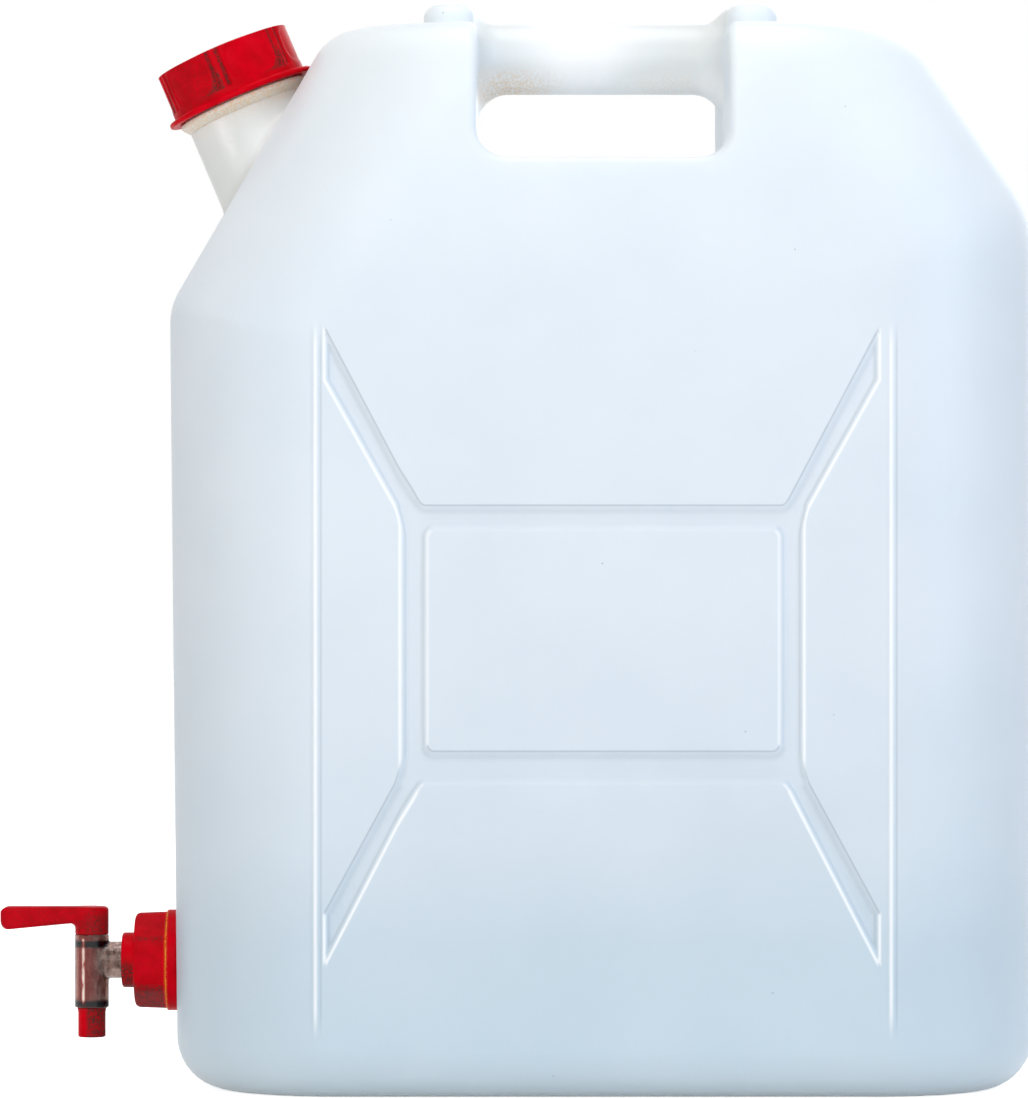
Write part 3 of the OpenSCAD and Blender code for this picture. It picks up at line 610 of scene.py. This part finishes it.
def can_form(p):
    """The blown can: flat faces with their relief, sides with a slope at each
    shoulder, all edges rounded, the top's more so towards the corners, then the
    neck's recess, the lugs, the pocket, the handle across it with flared ends,
    and the neck's stub."""
    x, y, z = p.T
    fill_up = (HALF_W - FILL_PEAK) / np.hypot(HALF_W - FILL_PEAK, TOP - FILL_FOOT)
    back_up = (HALF_W - BACK_PEAK) / np.hypot(HALF_W - BACK_PEAK, TOP - BACK_FOOT)
    left = bent(beyond(-x, z, (HALF_W - LEAN_IN, 0), (HALF_W, FILL_FOOT)),
                beyond(-x, z, (HALF_W, FILL_FOOT), (FILL_PEAK, TOP)),
                FILL_FOOT_R, np.sqrt(1 - fill_up**2))
    right = bent(x - HALF_W, beyond(x, z, (HALF_W, BACK_FOOT), (BACK_PEAK, TOP)),
                 BACK_FOOT_R, np.sqrt(1 - back_up**2))
    side, face = np.maximum(left, right), np.abs(y) - HALF_D + relief(x, z)
    body = common(side, face, CORNER_R)
    sideways = np.maximum(CORNER_R + side, 0)
    sideways /= np.maximum(np.hypot(sideways, np.maximum(CORNER_R + face, 0)), 1e-6)
    body = bent(body, z - TOP, RIM_R + np.where(x < 0, 2, 12) * sideways**4,
                np.where(x < 0, fill_up, back_up) * sideways)
    body = common(body, -z, BASE_R)
    radius, rise, _ = neck_frame(p)
    recess = common(radius - RECESS_R, -RECESS_DEEP - rise, RECESS_ROUND)
    body = cut(body, recess, RECESS_EDGE)
    lug = np.hypot(np.abs(x) - LUG_X, np.maximum(np.abs(y) - LUG_REACH, 0)) - LUG_R
    lug = np.maximum(common(lug, z - LUG_TOP, LUG_EDGE), TOP - 30 - z)
    body = joined(body, lug, LUG_FILLET)
    pocket = common(np.abs(x) - POCKET_HALF, POCKET_FLOOR - z, POCKET_R)
    body = cut(body, pocket, POCKET_EDGE)
    grip = np.maximum(np.hypot(y, z - GRIP_Z) - GRIP_R, np.abs(x) - POCKET_HALF - 10)
    body = np.maximum(joined(body, grip, GRIP_FILLET), z - LUG_TOP + 0.2)
    stub = np.maximum(common(radius - NECK_R, rise + NECK_SEAT, 0.6), -NECK_ROOT - rise)
    return joined(body, stub, NECK_FILLET)


def can_limit(p):
    """Longest edges: 1.45 mm along the bands' outlines and the beads, else free;
    shortest that a bend may halve: 1.5 mm."""
    x, y, z = p.T
    face = np.abs(y) > HALF_D - 4
    edge = band_edge(x, z)
    fine = (edge > -4.4) & (edge < 1.9)
    bead = (np.abs(np.abs(x) - BEAD_X) < 2.6) & (z > BEAD_LOW - 3) & (z < BEAD_HIGH + 3)
    return np.where(face & (fine | bead), 1.45, 9.0), 1.5


def can_shell(material):
    """The can's one blown skin, from its form. Its point values are the distance to
    the bands' outline, the painted highlight and painted shade there, the run of
    the beads, the greyer neck and handle, painted highlights and painted light on
    them, and the beige: painted light bounced from the red cap under its flange,
    and patches on the handle."""
    p, tri, n = skin_of(can_form, (-176, -92, -5), (176, 92, 430), 4.4, can_limit, 3, 0.21)
    x, y, z = p.T
    on_face = (np.abs(n[:, 1]) > 0.5) & (np.abs(y) > HALF_D - 4)
    edge = np.where(on_face, np.clip(band_edge(x, z), -12, 12), 12)
    lit, dim = band_light(x, z)
    radius, rise, across = neck_frame(p)
    neck = ramp((RECESS_R - 1 - radius) / 5) * (rise > -NECK_ROOT)
    # Painted highlight: a streak down the front of the neck.
    streak = np.exp(-(((across + 11) / 2.6) ** 2)) * (y < 0) * ramp((rise + 34) / 20) * neck
    # Painted light that lightens the neck's lower side and makes it less grey.
    open_to = neck * ramp((-rise - 5) / 18) * ramp((across + 12) / 14)
    grip = ramp((56 - np.abs(x)) / 7) * ramp((24 - np.abs(y)) / 4) * ramp((z - 384) / 4)
    # Painted highlight along the handle's middle and its lower side.
    shine = np.maximum(0.9 * np.exp(-(((x + 8) / 20) ** 2)), 0.8 * ramp((404 - z) / 14))
    # Beige patches towards the handle's ends, more on its lower side.
    patches = np.exp(-(((x + 36) / 17) ** 2)) + 0.35 * np.exp(-(((x - 28) / 18) ** 2))
    # Beige painted light bounced from the red cap, on the neck under its flange.
    stain = neck * ramp((rise + 11) / 10) * (radius < NECK_R + 1.5)
    stain = stain * (0.5 + 0.5 * ramp(across / 20)) + grip * ramp((406 - z) / 16) * patches
    piece = made("can_shell", "can", "natural_polyethylene", material, p, tri, n,
                 edge=edge, lit=lit * on_face, dim=dim * on_face, run=bead_run(z) * on_face,
                 stain=stain, grey=np.maximum(neck - 0.5 * open_to, 0.7 * grip),
                 shine=np.maximum.reduce([0.5 * streak, 0.4 * open_to, grip * shine]))
    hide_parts("can_body")


# ------------------------------------------------------------------- threads
CAP_PITCH, NUT_PITCH = 6.0, 3.5


def thread(angle, h, pitch, low, high, depth):
    """Height of a screw thread: a rounded ridge once per pitch, turned with the
    angle, that fades out over 2 mm of its height at both ends."""
    phase = (h / pitch - angle / (2 * np.pi)) % 1
    ridge = np.clip(1 - np.abs(phase - 0.5) * 4.2, 0, 1)
    along = h - (phase - 0.5) * pitch
    return depth * ramp(ridge) * ramp((along - low) / 2) * ramp((high - along) / 2)


def neck_finish(material):
    """Threaded mouth of the fill neck over its stub, with a stop ring."""
    path = rounded_path([
        (NECK_BORE_R, -NECK_SEAT, 0), (NECK_R - 0.5, -5.4, 0), (26.5, -2.2, 0.8),
        (26.5, -0.4, 0.6), (NECK_R, -0.4, 0.3), (NECK_R, 18.2, 0.7), (NECK_BORE_R, 18.2, 0.7),
        (NECK_BORE_R, -NECK_SEAT, 0),
    ], 0.7)

    def ridged(r, h, angle):
        outside = (r > NECK_R - 0.1) & (h > 0.2)
        return r + outside * thread(angle, h, CAP_PITCH, 3.5, 16, 1.0)

    p, quads = turned(path, 240, ridged)
    # Below the cap's flange the stop ring is greyer and carries beige painted light bounced from
    # the red cap.
    low = (p[:, 2] < 0).astype(float)
    made("neck_finish", "can", "natural_polyethylene", material, at_neck(p), quads,
         grey=low, stain=low)


def tap_spigot(material):
    """Short threaded spigot on the can's side that the nut is screwed to."""
    path = rounded_path([
        (0, -3, 0), (14, -3, 0), (14, 10.5, 0.6), (11, 10.5, 0.4), (11, -2.2, 0), (0, -2.2, 0),
    ], 0.7)

    def ridged(r, h, angle):
        return r - (r > 13.9) * (h > 0.5) * (0.8 - thread(angle, h, NUT_PITCH, 1, 9.5, 0.8))

    p, quads = turned(path, 160, ridged)
    made("tap_spigot", "can", "natural_polyethylene", material, at_tap(p), quads)


# ------------------------------------------------------------------ fill cap
CAP_R, CAP_H, CAP_BORE_R, FLANGE_R, DOME_RISE = 27.5, 23.0, 25.25, 30.35, 2.1
RIB_COUNT, RIB_TURN, GROOVE_DEEP, PANEL_DEEP = 6, np.radians(-98), 1.15, 0.35
FINGER_R, FINGER_HALF_L, FINGER_HALF_H, FINGER_Z = 6.5, 10.9, 8.2, 13.2


def cap_marks(h, angle):
    """Distances of a point on the skirt: from its rib's middle, with its sign; into
    the two grooves beside the rib, 1.7 mm wide; and outside the finger panel between
    ribs, a round-cornered rectangle in arc length and height."""
    step = 2 * np.pi / RIB_COUNT
    off = (angle - RIB_TURN + step / 2) % step - step / 2
    across = np.abs(CAP_R * np.sin(off))
    groove = np.minimum(np.minimum(across - 1.3, 3.0 - across), h - 5.2)
    side = CAP_R * (step / 2 - np.abs(off)) - FINGER_HALF_L + FINGER_R
    up = np.abs(h - FINGER_Z) - FINGER_HALF_H + FINGER_R
    panel = np.hypot(np.maximum(side, 0), np.maximum(up, 0))
    return off, groove, panel + np.minimum(np.maximum(side, up), 0) - FINGER_R


def cap_skirt(r, h, angle):
    """Skirt's radius: less the depth of the grooves and of the panels, where the
    smaller of it and the profile's is taken with a soft edge of 1/12 mm."""
    _, groove, panel = cap_marks(h, angle)
    limit = CAP_R - GROOVE_DEEP * ramp(groove / 0.45 + 0.5) - PANEL_DEEP * ramp(-panel / 1.5)
    inner = (r < 25.9) | (h < 2.6)
    return np.where(inner, r, -np.logaddexp(-r * 12, -limit * 12) / 12)


def fill_cap(material):
    """Screw cap: flange, skirt with ribs and finger panels, slightly domed top,
    and a threaded bore. Every other panel gets painted shade: the fourth power of
    a cosine that turns one and a half times. Painted shade also lies in the grooves
    and round one corner of each panel."""
    dome = [(r, CAP_H - DOME_RISE * (r / 26) ** 2, 0) for r in np.linspace(24, 0, 13)]
    path = rounded_path([
        (CAP_BORE_R, 0.4, 0.3), (25.6, 0, 0.2), (FLANGE_R, 0, 0.7), (FLANGE_R, 2, 0.8),
        (CAP_R, 2.15, 0.5), (CAP_R, 20.85, 0.9), *dome,
    ], 0.55)
    bore = rounded_path([(0, 20.25, 0), (CAP_BORE_R, 20.25, 0.5), (CAP_BORE_R, 0.4, 0)], 1.2)

    def shaped(r, h, angle):
        r = cap_skirt(r, h, angle)
        wall = (r > 25.2) & (r < 25.3) & (h > 0.5) & (h < 20)
        return r - wall * thread(angle, h + 3, CAP_PITCH, 5, 19, 0.95)

    p, quads = turned(np.concatenate([path, bore]), 432, shaped)
    x, y, h = p.T
    angle = np.arctan2(y, x)
    off, groove, panel = cap_marks(h, angle)
    skirt = ramp((np.hypot(x, y) - 25.6) / 0.3) * ramp((h - 2.4) / 0.8) * ramp((21.2 - h) / 0.4)
    # Painted shade on every other panel.
    worn = np.cos(1.5 * (angle + np.radians(128))) ** 4 * skirt
    # Painted shade round one corner of each panel, and in the grooves below.
    corner = ramp(panel / 1.2 + 0.3) * (off < 0) * (np.abs(off) < 0.42)
    corner = corner * ramp((15 - h) / 5) * ramp(h - 4)
    dirt = np.maximum(ramp(groove / 0.4 + 0.3), corner) * skirt
    # Painted shade along the cap's top edge.
    lip = np.exp(-(((h - 21.6) / 0.5) ** 2)) * (np.hypot(x, y) > 25.6)
    piece = made("fill_cap_moulding", "cap", "red_polyethylene", material, at_neck(p), quads,
                 worn=np.maximum(0.5 * worn, 0.8 * lip),
                 dirt=np.maximum(0.95 * dirt, 0.4 * lip))
    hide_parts("fill_cap")


# ----------------------------------------------------------------------- tap
# Radii of nut, barrel and plug, and places from the crossing of the barrel's axes.
FLATS_HALF, COLLAR_R, NUT_BORE_R = 17.3, 10.9, 14.1
TUBE_R, TUBE_BORE_R, STEM_R, STEM_ROOT_R, STEM_BORE_R = 6.8, 5.3, 7.3, 6.3, 3.5
CORE_R, GROOVE_R, RING_HIGH, RING_LOW = 5.2, 3.3, 6.5, -17.1
LEVER_TIP, LEVER_TOP, NOZZLE_R, NOZZLE_LOW, NOZZLE_BORE_R, PORT_R = 36.8, 21.25, 5.45, 30.5, 3, 2.8


def tap_nut(material):
    """Flanged hexagon nut: its profile turned, and the body's radius held within
    a flat's distance over the cosine of the angle from the flat's middle. One
    facet, the corners and the collar's underside get painted shade, and the
    flange's edge a painted highlight."""
    path = rounded_path([
        (NUT_BORE_R, 0.4, 0.4), (20, 0.4, 0.7), (20, 5.0, 0.6), (19.2, 5.1, 0.3),
        (18.7, 17.75, 2.2), (COLLAR_R, 17.75, 1.0), (COLLAR_R, 22.95, 1.1), (7.4, 22.95, 0.3),
        (7.4, 14.55, 0), (NUT_BORE_R, 14.55, 0),
    ], 0.6, closed=True)

    def hexagon(r, h, angle):
        flat = FLATS_HALF / np.cos(angle % (np.pi / 3) - np.pi / 6)
        soft = -np.logaddexp(-r * 3.5, -flat * 3.5) / 3.5
        return np.where((h > 5.05) & (r > 12), r + (soft - r) * ramp((h - 5.05) / 0.5), r)

    p, quads = turned(path, 360, hexagon)
    x, y, h = p.T
    r, angle = np.hypot(x, y), np.arctan2(y, x)
    body = ramp((h - 5.6) / 0.8) * ramp((18.2 - h) / 0.6)
    # Painted shade on the facet that faces down and to the front.
    facet = ramp((np.cos(angle + np.radians(150)) - 0.85) / 0.05) * ramp(r - 14.5)
    from_corner = np.abs(angle % (np.pi / 3) - np.pi / 6) - np.pi / 6
    # Painted shade along the hexagon's corners.
    corner = np.exp(-((from_corner * 19 / 0.9) ** 2)) * (r > 16)
    # Painted shade under the collar.
    under = ramp((np.cos(angle + 2.5) - 0.45) / 0.4) * (h > 17.9) * (r < 13)
    # Painted highlight along the flange's edge.
    glint = np.exp(-(((h - 4.9) / 0.4) ** 2)) * (r > 16.5)
    # The dark red mottle also lies lightly over the whole body.
    dirt = np.maximum.reduce([0.8 * corner * body, 0.75 * facet * body, 0.85 * under])
    piece = made("tap_nut_moulding", "nut", "red_polyethylene", material, at_tap(p), quads,
                 worn=np.maximum.reduce([facet * body, under, 0.2 * body]), dirt=dirt,
                 glint=glint)
    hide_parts("tap_nut")


def barrel_form(p):
    """Tap barrel: an upright tube joined to a level stem, the stem's clamped
    flange and tail, less the upright bore and the stem's own bore."""
    x, y, z = p[:, 0] - BARREL_X, p[:, 1], p[:, 2] - TAP_Z
    out = TAP_X - p[:, 0]
    upright, level = np.hypot(x, y), np.hypot(y, z)
    tube = common(upright - TUBE_R, np.maximum(z - 10.2, -18.7 - z), 0.4)
    stem = np.maximum(common(level - STEM_R, out - 32.1, 0.8), 11.5 - out)
    root = np.maximum(level - STEM_ROOT_R, np.maximum(out - TAP_REACH, 12 - out))
    body = joined(joined(tube, root, 0.8), stem, 0.8)
    body = joined(body, common(level - 13.5, np.maximum(12.3 - out, out - 14.5), 0.5), 0.5)
    body = joined(body, common(level - 8, np.maximum(2.5 - out, out - 13), 0.5), 0.5)
    body = cut(body, np.maximum(upright - TUBE_BORE_R, np.abs(z) - 40), 0.25)
    return cut(body, np.maximum(level - STEM_BORE_R, out - TAP_REACH), 0.25)


def plug_form(p):
    """Tap plug: hub with a lever that thickens to its rounded tip, the core in
    the barrel with two ring grooves, the nozzle, its bore and the side port."""
    x, y, z = p[:, 0] - BARREL_X, p[:, 1], p[:, 2] - TAP_Z
    r = np.hypot(x, y)
    hub = common(r - 6.65, 10.27 - z, 0.35)
    under = beyond(x, z, (-6.6, 14.75), (-LEVER_TIP, 11.85))
    plan = np.hypot(np.minimum(x + 31.8, 0), y) - 5
    lever = np.maximum(common(common(-LEVER_TIP - x, -under, 4.2), plan, 1.6), x)
    top = common(joined(hub, lever, 2.4), z - LEVER_TOP, 1.4)
    top = np.maximum(top, common(z - LEVER_TOP, -LEVER_TIP - x, 4.2))
    core = np.maximum(r - CORE_R, np.abs(z + 4.2) - 15)
    for ring in (RING_HIGH, RING_LOW):
        core = cut(core, common(GROOVE_R - r, np.abs(z - ring) - 1, 0.1), 0.15)
    cone = np.maximum((r - 6.0 + 0.46 * (-18.75 - z)) * 0.9, np.maximum(z + 18.78, -20 - z))
    spout = common(r - NOZZLE_R, np.maximum(-NOZZLE_LOW - z, z + 19), 0.6)
    body = np.minimum(np.minimum(top, core), joined(cone, spout, 0.4))
    body = cut(body, np.maximum(r - NOZZLE_BORE_R, z - PORT_R), 0.4)
    return cut(body, np.maximum(np.hypot(y, z) - PORT_R, -x), 0.2)


def tap_barrel(material):
    """The barrel's skin, with edges down to 0.3 mm where it bends. Its point values
    are the rings pressed to the wall, a painted highlight streak, and the reddened part."""
    low, high = (BARREL_X - 9, -15, TAP_Z - 21), (TAP_X - 1, 15, TAP_Z + 16)
    p, tri, n = skin_of(barrel_form, low, high, 0.6, lambda p: (9.0, 0.3), 1, 0.35)
    x, y, z = p[:, 0] - BARREL_X, p[:, 1], p[:, 2] - TAP_Z
    rings = ramp(2.4 - np.abs(z - RING_HIGH) / 0.75) + ramp(2.2 - np.abs(z - RING_LOW) / 0.75)
    # Painted highlight: a streak down the front of the tube.
    streak = np.exp(-(((x + 3.0) / 0.6) ** 2)) * (y < 0)
    streak = streak * ramp((z + 18) / 2) * ramp((9.5 - z) / 1.5)
    tube = (np.hypot(x, y) < 7.2) * ramp((4.5 - x) / 6) * ramp((x + 6.4) / 1.2)
    piece = made("tap_barrel_moulding", "tap_mount", "clear_polypropylene", material, p, tri, n,
                 pressed=rings * (x < 6.9), glint=0.85 * streak * (1 - 0.6 * rings),
                 reddened=0.75 * tube * (1 - rings))
    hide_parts("tap_barrel")


def tap_plug(material):
    """The plug's skin, with edges down to 0.3 mm where it bends. It has painted
    shade on the hub and the lever, more to the right and below, on the nozzle's
    right side, and along the nozzle's rims."""
    low, high = (BARREL_X - 39, -9, TAP_Z - 33), (BARREL_X + 9, 9, TAP_Z + 24)
    p, tri, n = skin_of(plug_form, low, high, 0.7, lambda p: (9.0, 0.3), 1, 0.35)
    x, z = p[:, 0] - BARREL_X, p[:, 2] - TAP_Z
    # Painted shade: darker to the right and below on the hub and lever, and on the nozzle's right
    # side.
    hub = ramp((x + 5) / 8) * ramp((21.5 - z) / 7) * (z > 9)
    lever = (0.45 + 0.4 * ramp((17 - z) / 3) * ramp((x + 26) / 14)) * (z > 9)
    nozzle = ramp((x + 2.6) / 2.2) * (z < -18)
    # Painted shade along the nozzle's two rims.
    rims = np.exp(-(((z + 30.3) / 0.4) ** 2)) + np.exp(-(((z + 19.3) / 0.5) ** 2))
    piece = made("tap_plug_moulding", "lever", "red_plug", material, p, tri, n,
                 worn=np.maximum.reduce([hub, lever, nozzle]),
                 dirt=np.maximum(0.6 * hub, 0.75 * nozzle + 0.5 * rims))
    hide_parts("tap_plug")


# -------------------------------------------------------------------- pieces
polyethylene = natural_polyethylene()
can_shell(polyethylene)
neck_finish(polyethylene)
tap_spigot(polyethylene)
red = red_polyethylene()
fill_cap(red)
tap_nut(red)
tap_plug(red)
tap_barrel(clear_polypropylene())

rubber = moulded_seal("moulded_black_rubber", "#101113", "#202226", 0.55, 0.8)
liner = moulded_seal("foamed_polyethylene_liner", "#cfcabf", "#e2ded4", 0.7, 0.6)
for name, finish in (("fill_cap_seal", liner), ("tap_gasket", rubber),
                     ("tap_o_ring_upper", rubber), ("tap_o_ring_lower", rubber)):
    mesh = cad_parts[name].data
    if not mesh.materials:
        mesh.materials.append(finish)
    for k in range(len(mesh.materials)):
        mesh.materials[k] = finish

# -------------------------------------------------------------------- studio
scene = bpy.context.scene
scene.view_settings.view_transform = "Standard"

floor = bpy.data.meshes.new("studio_floor")
floor.from_pydata([(-6, -4, 0), (6, -4, 0), (6, 8, 0), (-6, 8, 0)], [], [(0, 1, 2, 3)])
floor.materials.append(studio_floor())
floor = bpy.data.objects.new("studio_floor", floor)
scene.collection.objects.link(floor)

world = bpy.data.worlds.new("studio_light")
world.use_nodes = True
scene.world = world
sky = world.node_tree
sky.nodes.clear()
soft = node(sky, "Background", {"Color": tint("#ffffff"), "Strength": 0.36})
white = node(sky, "Background", {"Color": tint("#ffffff"), "Strength": 1.0})
mix = node(sky, "MixShader", {0: seen_rays(sky), 1: soft.outputs[0], 2: white.outputs[0]})
sky.links.new(mix.outputs[0], node(sky, "OutputWorld").inputs[0])


def soft_box(name, place, aim_z, size, watts, code):
    """A square studio lamp of a colour at a place, turned to face a point at the
    given height on the can's upright axis: its back points away from it."""
    lamp = bpy.data.lights.new(name, "AREA")
    lamp.shape, lamp.size, lamp.energy, lamp.color = "SQUARE", size, watts, tint(code)[:3]
    box = bpy.data.objects.new(name, lamp)
    scene.collection.objects.link(box)
    x, y, z = place
    box.location = place
    box.rotation_euler = (np.arctan2(np.hypot(x, y), z - aim_z), 0, np.arctan2(x, -y))


soft_box("front", (-0.5, -2.5, 0.9), 0.22, 1.6, 20.5, "#fffdf8")
soft_box("left", (-1.9, -1.2, 0.6), 0.22, 1.2, 5, "#ffffff")
soft_box("right", (1.9, -1.5, 0.9), 0.22, 1.2, 16, "#cfe4ff")
soft_box("top", (0.1, -0.2, 2.5), 0.3, 1.6, 24, "#ffffff")
soft_box("back", (0.7, 2.4, 1.0), 0.22, 1.6, 14, "#ffffff")

camera = bpy.data.cameras.new("photo_camera")
camera.sensor_fit, camera.sensor_width, camera.lens = "HORIZONTAL", 36, 207.4
camera.clip_start, camera.clip_end = 0.05, 30
view = bpy.data.objects.new("photo_camera", camera)
scene.collection.objects.link(view)
view.location = (-0.0341, -2.350, 0.211)
view.rotation_euler = (np.pi / 2, 0, 0)
scene.camera = view
